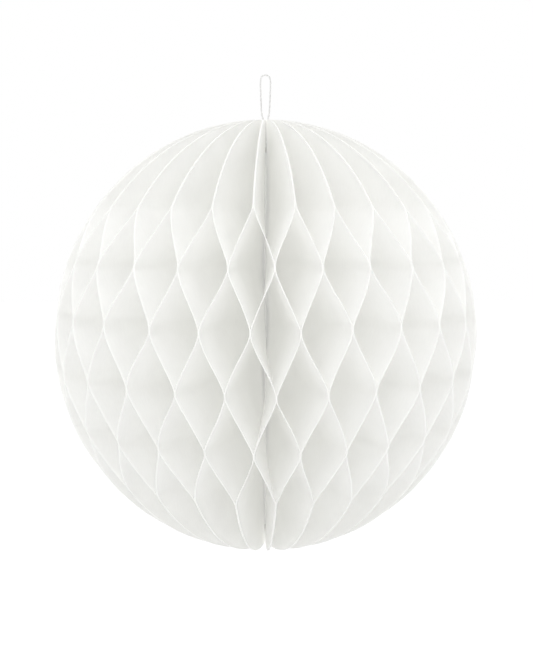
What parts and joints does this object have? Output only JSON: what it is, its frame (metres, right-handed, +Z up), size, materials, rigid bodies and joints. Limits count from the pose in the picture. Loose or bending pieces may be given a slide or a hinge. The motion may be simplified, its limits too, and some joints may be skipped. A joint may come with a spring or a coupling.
{
  "type": "paper honeycomb ball",
  "caption": "White tissue honeycomb ball that fans open round an upright spine, with card covers at the rear seam and a twisted thread loop to hang it by.",
  "frame": {"origin": "inside the top of the hanging loop, where the hook bears", "axes": "+Z up along the spine; +Y from the spine to the seam between the two card covers; the loop lies in the XZ plane"},
  "size_m": [0.1, 0.0998, 0.1126],
  "materials": {
    "tissue": "thin translucent white tissue paper, matt",
    "card": "smooth uncoated white card, matt",
    "binding": "rolled paper strip, matt",
    "tape": "double-sided tissue tape",
    "thread": "twisted white cotton thread"
  },
  "bodies": {
    "hanger": {"hang_loop": "thread"},
    "thread": {"spine_thread": "thread"},
    "ball": {"spine_sleeve": "binding", "card_cover_fixed": "card", "closing_tape": "tape"},
    "cover": {"card_cover_moving": "card"},
    "leaf_01": {"leaf_01": "tissue"},
    "leaf_02": {"leaf_02": "tissue"},
    "leaf_03": {"leaf_03": "tissue"},
    "leaf_04": {"leaf_04": "tissue"},
    "leaf_05": {"leaf_05": "tissue"},
    "leaf_06": {"leaf_06": "tissue"},
    "leaf_07": {"leaf_07": "tissue"},
    "leaf_08": {"leaf_08": "tissue"},
    "leaf_09": {"leaf_09": "tissue"},
    "leaf_10": {"leaf_10": "tissue"},
    "leaf_11": {"leaf_11": "tissue"},
    "leaf_12": {"leaf_12": "tissue"},
    "leaf_13": {"leaf_13": "tissue"},
    "leaf_14": {"leaf_14": "tissue"},
    "leaf_15": {"leaf_15": "tissue"},
    "leaf_16": {"leaf_16": "tissue"},
    "leaf_17": {"leaf_17": "tissue"},
    "leaf_18": {"leaf_18": "tissue"},
    "leaf_19": {"leaf_19": "tissue"},
    "leaf_20": {"leaf_20": "tissue"},
    "leaf_21": {"leaf_21": "tissue"},
    "leaf_22": {"leaf_22": "tissue"},
    "leaf_23": {"leaf_23": "tissue"},
    "leaf_24": {"leaf_24": "tissue"},
    "leaf_25": {"leaf_25": "tissue"},
    "leaf_26": {"leaf_26": "tissue"},
    "leaf_27": {"leaf_27": "tissue"},
    "leaf_28": {"leaf_28": "tissue"},
    "leaf_29": {"leaf_29": "tissue"},
    "leaf_30": {"leaf_30": "tissue"},
    "leaf_31": {"leaf_31": "tissue"},
    "leaf_32": {"leaf_32": "tissue"},
    "leaf_33": {"leaf_33": "tissue"},
    "leaf_34": {"leaf_34": "tissue"},
    "leaf_35": {"leaf_35": "tissue"},
    "leaf_36": {"leaf_36": "tissue"},
    "leaf_37": {"leaf_37": "tissue"},
    "leaf_38": {"leaf_38": "tissue"},
    "leaf_39": {"leaf_39": "tissue"},
    "leaf_40": {"leaf_40": "tissue"},
    "leaf_41": {"leaf_41": "tissue"},
    "leaf_42": {"leaf_42": "tissue"},
    "leaf_43": {"leaf_43": "tissue"},
    "leaf_44": {"leaf_44": "tissue"},
    "leaf_45": {"leaf_45": "tissue"},
    "leaf_46": {"leaf_46": "tissue"},
    "leaf_47": {"leaf_47": "tissue"},
    "leaf_48": {"leaf_48": "tissue"},
    "leaf_49": {"leaf_49": "tissue"},
    "leaf_50": {"leaf_50": "tissue"},
    "leaf_51": {"leaf_51": "tissue"},
    "leaf_52": {"leaf_52": "tissue"},
    "leaf_53": {"leaf_53": "tissue"},
    "leaf_54": {"leaf_54": "tissue"}
  },
  "joints": [
    {"name": "ball_swing", "type": "hinge", "parent": "hanger", "child": "thread", "pos_m": [0, 0, -0.0102], "axis": [1, 0, 0], "range_deg": [-30, 30], "deforming": ["hang_loop"]},
    {"name": "ball_spin", "type": "hinge", "parent": "thread", "child": "ball", "pos_m": [0, 0, -0.0102], "axis": [0, 0, 1], "continuous": true},
    {"name": "fold", "type": "hinge", "parent": "ball", "child": "cover", "pos_m": [0, 0, -0.0612], "axis": [0, 0, 1], "range_deg": [-352, 0], "deforming": ["leaf_01", "leaf_02", "leaf_03", "leaf_04", "leaf_05", "leaf_06", "leaf_07", "leaf_08", "leaf_09", "leaf_10", "leaf_11", "leaf_12", "leaf_13", "leaf_14", "leaf_15", "leaf_16", "leaf_17", "leaf_18", "leaf_19", "leaf_20", "leaf_21", "leaf_22", "leaf_23", "leaf_24", "leaf_25", "leaf_26", "leaf_27", "leaf_28", "leaf_29", "leaf_30", "leaf_31", "leaf_32", "leaf_33", "leaf_34", "leaf_35", "leaf_36", "leaf_37", "leaf_38", "leaf_39", "leaf_40", "leaf_41", "leaf_42", "leaf_43", "leaf_44", "leaf_45", "leaf_46", "leaf_47", "leaf_48", "leaf_49", "leaf_50", "leaf_51", "leaf_52", "leaf_53", "leaf_54"]},
    {"name": "leaf_01_fold", "type": "hinge", "parent": "ball", "child": "leaf_01", "pos_m": [0, 0, -0.0612], "axis": [0, 0, 1], "range_deg": [-3.44, 0]},
    {"name": "leaf_02_fold", "type": "hinge", "parent": "ball", "child": "leaf_02", "pos_m": [0, 0, -0.0612], "axis": [0, 0, 1], "range_deg": [-10.3, 0]},
    {"name": "leaf_03_fold", "type": "hinge", "parent": "ball", "child": "leaf_03", "pos_m": [0, 0, -0.0612], "axis": [0, 0, 1], "range_deg": [-17.07, 0]},
    {"name": "leaf_04_fold", "type": "hinge", "parent": "ball", "child": "leaf_04", "pos_m": [0, 0, -0.0612], "axis": [0, 0, 1], "range_deg": [-23.72, 0]},
    {"name": "leaf_05_fold", "type": "hinge", "parent": "ball", "child": "leaf_05", "pos_m": [0, 0, -0.0612], "axis": [0, 0, 1], "range_deg": [-30.21, 0]},
    {"name": "leaf_06_fold", "type": "hinge", "parent": "ball", "child": "leaf_06", "pos_m": [0, 0, -0.0612], "axis": [0, 0, 1], "range_deg": [-36.55, 0]},
    {"name": "leaf_07_fold", "type": "hinge", "parent": "ball", "child": "leaf_07", "pos_m": [0, 0, -0.0612], "axis": [0, 0, 1], "range_deg": [-42.75, 0]},
    {"name": "leaf_08_fold", "type": "hinge", "parent": "ball", "child": "leaf_08", "pos_m": [0, 0, -0.0612], "axis": [0, 0, 1], "range_deg": [-48.85, 0]},
    {"name": "leaf_09_fold", "type": "hinge", "parent": "ball", "child": "leaf_09", "pos_m": [0, 0, -0.0612], "axis": [0, 0, 1], "range_deg": [-54.89, 0]},
    {"name": "leaf_10_fold", "type": "hinge", "parent": "ball", "child": "leaf_10", "pos_m": [0, 0, -0.0612], "axis": [0, 0, 1], "range_deg": [-60.94, 0]},
    {"name": "leaf_11_fold", "type": "hinge", "parent": "ball", "child": "leaf_11", "pos_m": [0, 0, -0.0612], "axis": [0, 0, 1], "range_deg": [-67.07, 0]},
    {"name": "leaf_12_fold", "type": "hinge", "parent": "ball", "child": "leaf_12", "pos_m": [0, 0, -0.0612], "axis": [0, 0, 1], "range_deg": [-73.32, 0]},
    {"name": "leaf_13_fold", "type": "hinge", "parent": "ball", "child": "leaf_13", "pos_m": [0, 0, -0.0612], "axis": [0, 0, 1], "range_deg": [-79.74, 0]},
    {"name": "leaf_14_fold", "type": "hinge", "parent": "ball", "child": "leaf_14", "pos_m": [0, 0, -0.0612], "axis": [0, 0, 1], "range_deg": [-86.36, 0]},
    {"name": "leaf_15_fold", "type": "hinge", "parent": "ball", "child": "leaf_15", "pos_m": [0, 0, -0.0612], "axis": [0, 0, 1], "range_deg": [-93.18, 0]},
    {"name": "leaf_16_fold", "type": "hinge", "parent": "ball", "child": "leaf_16", "pos_m": [0, 0, -0.0612], "axis": [0, 0, 1], "range_deg": [-100.18, 0]},
    {"name": "leaf_17_fold", "type": "hinge", "parent": "ball", "child": "leaf_17", "pos_m": [0, 0, -0.0612], "axis": [0, 0, 1], "range_deg": [-107.3, 0]},
    {"name": "leaf_18_fold", "type": "hinge", "parent": "ball", "child": "leaf_18", "pos_m": [0, 0, -0.0612], "axis": [0, 0, 1], "range_deg": [-114.49, 0]},
    {"name": "leaf_19_fold", "type": "hinge", "parent": "ball", "child": "leaf_19", "pos_m": [0, 0, -0.0612], "axis": [0, 0, 1], "range_deg": [-121.68, 0]},
    {"name": "leaf_20_fold", "type": "hinge", "parent": "ball", "child": "leaf_20", "pos_m": [0, 0, -0.0612], "axis": [0, 0, 1], "range_deg": [-128.79, 0]},
    {"name": "leaf_21_fold", "type": "hinge", "parent": "ball", "child": "leaf_21", "pos_m": [0, 0, -0.0612], "axis": [0, 0, 1], "range_deg": [-135.76, 0]},
    {"name": "leaf_22_fold", "type": "hinge", "parent": "ball", "child": "leaf_22", "pos_m": [0, 0, -0.0612], "axis": [0, 0, 1], "range_deg": [-142.53, 0]},
    {"name": "leaf_23_fold", "type": "hinge", "parent": "ball", "child": "leaf_23", "pos_m": [0, 0, -0.0612], "axis": [0, 0, 1], "range_deg": [-149.06, 0]},
    {"name": "leaf_24_fold", "type": "hinge", "parent": "ball", "child": "leaf_24", "pos_m": [0, 0, -0.0612], "axis": [0, 0, 1], "range_deg": [-155.36, 0]},
    {"name": "leaf_25_fold", "type": "hinge", "parent": "ball", "child": "leaf_25", "pos_m": [0, 0, -0.0612], "axis": [0, 0, 1], "range_deg": [-161.44, 0]},
    {"name": "leaf_26_fold", "type": "hinge", "parent": "ball", "child": "leaf_26", "pos_m": [0, 0, -0.0612], "axis": [0, 0, 1], "range_deg": [-167.34, 0]},
    {"name": "leaf_27_fold", "type": "hinge", "parent": "ball", "child": "leaf_27", "pos_m": [0, 0, -0.0612], "axis": [0, 0, 1], "range_deg": [-173.13, 0]},
    {"name": "leaf_28_fold", "type": "hinge", "parent": "ball", "child": "leaf_28", "pos_m": [0, 0, -0.0612], "axis": [0, 0, 1], "range_deg": [-178.88, 0]},
    {"name": "leaf_29_fold", "type": "hinge", "parent": "ball", "child": "leaf_29", "pos_m": [0, 0, -0.0612], "axis": [0, 0, 1], "range_deg": [-184.66, 0]},
    {"name": "leaf_30_fold", "type": "hinge", "parent": "ball", "child": "leaf_30", "pos_m": [0, 0, -0.0612], "axis": [0, 0, 1], "range_deg": [-190.56, 0]},
    {"name": "leaf_31_fold", "type": "hinge", "parent": "ball", "child": "leaf_31", "pos_m": [0, 0, -0.0612], "axis": [0, 0, 1], "range_deg": [-196.64, 0]},
    {"name": "leaf_32_fold", "type": "hinge", "parent": "ball", "child": "leaf_32", "pos_m": [0, 0, -0.0612], "axis": [0, 0, 1], "range_deg": [-202.94, 0]},
    {"name": "leaf_33_fold", "type": "hinge", "parent": "ball", "child": "leaf_33", "pos_m": [0, 0, -0.0612], "axis": [0, 0, 1], "range_deg": [-209.48, 0]},
    {"name": "leaf_34_fold", "type": "hinge", "parent": "ball", "child": "leaf_34", "pos_m": [0, 0, -0.0612], "axis": [0, 0, 1], "range_deg": [-216.25, 0]},
    {"name": "leaf_35_fold", "type": "hinge", "parent": "ball", "child": "leaf_35", "pos_m": [0, 0, -0.0612], "axis": [0, 0, 1], "range_deg": [-223.21, 0]},
    {"name": "leaf_36_fold", "type": "hinge", "parent": "ball", "child": "leaf_36", "pos_m": [0, 0, -0.0612], "axis": [0, 0, 1], "range_deg": [-230.32, 0]},
    {"name": "leaf_37_fold", "type": "hinge", "parent": "ball", "child": "leaf_37", "pos_m": [0, 0, -0.0612], "axis": [0, 0, 1], "range_deg": [-237.51, 0]},
    {"name": "leaf_38_fold", "type": "hinge", "parent": "ball", "child": "leaf_38", "pos_m": [0, 0, -0.0612], "axis": [0, 0, 1], "range_deg": [-244.7, 0]},
    {"name": "leaf_39_fold", "type": "hinge", "parent": "ball", "child": "leaf_39", "pos_m": [0, 0, -0.0612], "axis": [0, 0, 1], "range_deg": [-251.83, 0]},
    {"name": "leaf_40_fold", "type": "hinge", "parent": "ball", "child": "leaf_40", "pos_m": [0, 0, -0.0612], "axis": [0, 0, 1], "range_deg": [-258.82, 0]},
    {"name": "leaf_41_fold", "type": "hinge", "parent": "ball", "child": "leaf_41", "pos_m": [0, 0, -0.0612], "axis": [0, 0, 1], "range_deg": [-265.64, 0]},
    {"name": "leaf_42_fold", "type": "hinge", "parent": "ball", "child": "leaf_42", "pos_m": [0, 0, -0.0612], "axis": [0, 0, 1], "range_deg": [-272.26, 0]},
    {"name": "leaf_43_fold", "type": "hinge", "parent": "ball", "child": "leaf_43", "pos_m": [0, 0, -0.0612], "axis": [0, 0, 1], "range_deg": [-278.69, 0]},
    {"name": "leaf_44_fold", "type": "hinge", "parent": "ball", "child": "leaf_44", "pos_m": [0, 0, -0.0612], "axis": [0, 0, 1], "range_deg": [-284.94, 0]},
    {"name": "leaf_45_fold", "type": "hinge", "parent": "ball", "child": "leaf_45", "pos_m": [0, 0, -0.0612], "axis": [0, 0, 1], "range_deg": [-291.06, 0]},
    {"name": "leaf_46_fold", "type": "hinge", "parent": "ball", "child": "leaf_46", "pos_m": [0, 0, -0.0612], "axis": [0, 0, 1], "range_deg": [-297.11, 0]},
    {"name": "leaf_47_fold", "type": "hinge", "parent": "ball", "child": "leaf_47", "pos_m": [0, 0, -0.0612], "axis": [0, 0, 1], "range_deg": [-303.15, 0]},
    {"name": "leaf_48_fold", "type": "hinge", "parent": "ball", "child": "leaf_48", "pos_m": [0, 0, -0.0612], "axis": [0, 0, 1], "range_deg": [-309.25, 0]},
    {"name": "leaf_49_fold", "type": "hinge", "parent": "ball", "child": "leaf_49", "pos_m": [0, 0, -0.0612], "axis": [0, 0, 1], "range_deg": [-315.45, 0]},
    {"name": "leaf_50_fold", "type": "hinge", "parent": "ball", "child": "leaf_50", "pos_m": [0, 0, -0.0612], "axis": [0, 0, 1], "range_deg": [-321.79, 0]},
    {"name": "leaf_51_fold", "type": "hinge", "parent": "ball", "child": "leaf_51", "pos_m": [0, 0, -0.0612], "axis": [0, 0, 1], "range_deg": [-328.28, 0]},
    {"name": "leaf_52_fold", "type": "hinge", "parent": "ball", "child": "leaf_52", "pos_m": [0, 0, -0.0612], "axis": [0, 0, 1], "range_deg": [-334.93, 0]},
    {"name": "leaf_53_fold", "type": "hinge", "parent": "ball", "child": "leaf_53", "pos_m": [0, 0, -0.0612], "axis": [0, 0, 1], "range_deg": [-341.7, 0]},
    {"name": "leaf_54_fold", "type": "hinge", "parent": "ball", "child": "leaf_54", "pos_m": [0, 0, -0.0612], "axis": [0, 0, 1], "range_deg": [-348.56, 0]}
  ],
  "couplings": [
    {"joint": "leaf_01_fold", "follows": "fold", "ratio": 0.009779},
    {"joint": "leaf_02_fold", "follows": "fold", "ratio": 0.029254},
    {"joint": "leaf_03_fold", "follows": "fold", "ratio": 0.048494},
    {"joint": "leaf_04_fold", "follows": "fold", "ratio": 0.067379},
    {"joint": "leaf_05_fold", "follows": "fold", "ratio": 0.085833},
    {"joint": "leaf_06_fold", "follows": "fold", "ratio": 0.10384},
    {"joint": "leaf_07_fold", "follows": "fold", "ratio": 0.12145},
    {"joint": "leaf_08_fold", "follows": "fold", "ratio": 0.13877},
    {"joint": "leaf_09_fold", "follows": "fold", "ratio": 0.15593},
    {"joint": "leaf_10_fold", "follows": "fold", "ratio": 0.17313},
    {"joint": "leaf_11_fold", "follows": "fold", "ratio": 0.19052},
    {"joint": "leaf_12_fold", "follows": "fold", "ratio": 0.20829},
    {"joint": "leaf_13_fold", "follows": "fold", "ratio": 0.22654},
    {"joint": "leaf_14_fold", "follows": "fold", "ratio": 0.24535},
    {"joint": "leaf_15_fold", "follows": "fold", "ratio": 0.26472},
    {"joint": "leaf_16_fold", "follows": "fold", "ratio": 0.28459},
    {"joint": "leaf_17_fold", "follows": "fold", "ratio": 0.30483},
    {"joint": "leaf_18_fold", "follows": "fold", "ratio": 0.32526},
    {"joint": "leaf_19_fold", "follows": "fold", "ratio": 0.34568},
    {"joint": "leaf_20_fold", "follows": "fold", "ratio": 0.36588},
    {"joint": "leaf_21_fold", "follows": "fold", "ratio": 0.38567},
    {"joint": "leaf_22_fold", "follows": "fold", "ratio": 0.4049},
    {"joint": "leaf_23_fold", "follows": "fold", "ratio": 0.42347},
    {"joint": "leaf_24_fold", "follows": "fold", "ratio": 0.44136},
    {"joint": "leaf_25_fold", "follows": "fold", "ratio": 0.45863},
    {"joint": "leaf_26_fold", "follows": "fold", "ratio": 0.4754},
    {"joint": "leaf_27_fold", "follows": "fold", "ratio": 0.49184},
    {"joint": "leaf_28_fold", "follows": "fold", "ratio": 0.50816},
    {"joint": "leaf_29_fold", "follows": "fold", "ratio": 0.5246},
    {"joint": "leaf_30_fold", "follows": "fold", "ratio": 0.54137},
    {"joint": "leaf_31_fold", "follows": "fold", "ratio": 0.55864},
    {"joint": "leaf_32_fold", "follows": "fold", "ratio": 0.57653},
    {"joint": "leaf_33_fold", "follows": "fold", "ratio": 0.5951},
    {"joint": "leaf_34_fold", "follows": "fold", "ratio": 0.61433},
    {"joint": "leaf_35_fold", "follows": "fold", "ratio": 0.63412},
    {"joint": "leaf_36_fold", "follows": "fold", "ratio": 0.65432},
    {"joint": "leaf_37_fold", "follows": "fold", "ratio": 0.67474},
    {"joint": "leaf_38_fold", "follows": "fold", "ratio": 0.69517},
    {"joint": "leaf_39_fold", "follows": "fold", "ratio": 0.71541},
    {"joint": "leaf_40_fold", "follows": "fold", "ratio": 0.73528},
    {"joint": "leaf_41_fold", "follows": "fold", "ratio": 0.75465},
    {"joint": "leaf_42_fold", "follows": "fold", "ratio": 0.77346},
    {"joint": "leaf_43_fold", "follows": "fold", "ratio": 0.79171},
    {"joint": "leaf_44_fold", "follows": "fold", "ratio": 0.80948},
    {"joint": "leaf_45_fold", "follows": "fold", "ratio": 0.82687},
    {"joint": "leaf_46_fold", "follows": "fold", "ratio": 0.84406},
    {"joint": "leaf_47_fold", "follows": "fold", "ratio": 0.86123},
    {"joint": "leaf_48_fold", "follows": "fold", "ratio": 0.87855},
    {"joint": "leaf_49_fold", "follows": "fold", "ratio": 0.89616},
    {"joint": "leaf_50_fold", "follows": "fold", "ratio": 0.91417},
    {"joint": "leaf_51_fold", "follows": "fold", "ratio": 0.93262},
    {"joint": "leaf_52_fold", "follows": "fold", "ratio": 0.95151},
    {"joint": "leaf_53_fold", "follows": "fold", "ratio": 0.97075},
    {"joint": "leaf_54_fold", "follows": "fold", "ratio": 0.99022}
  ]
}
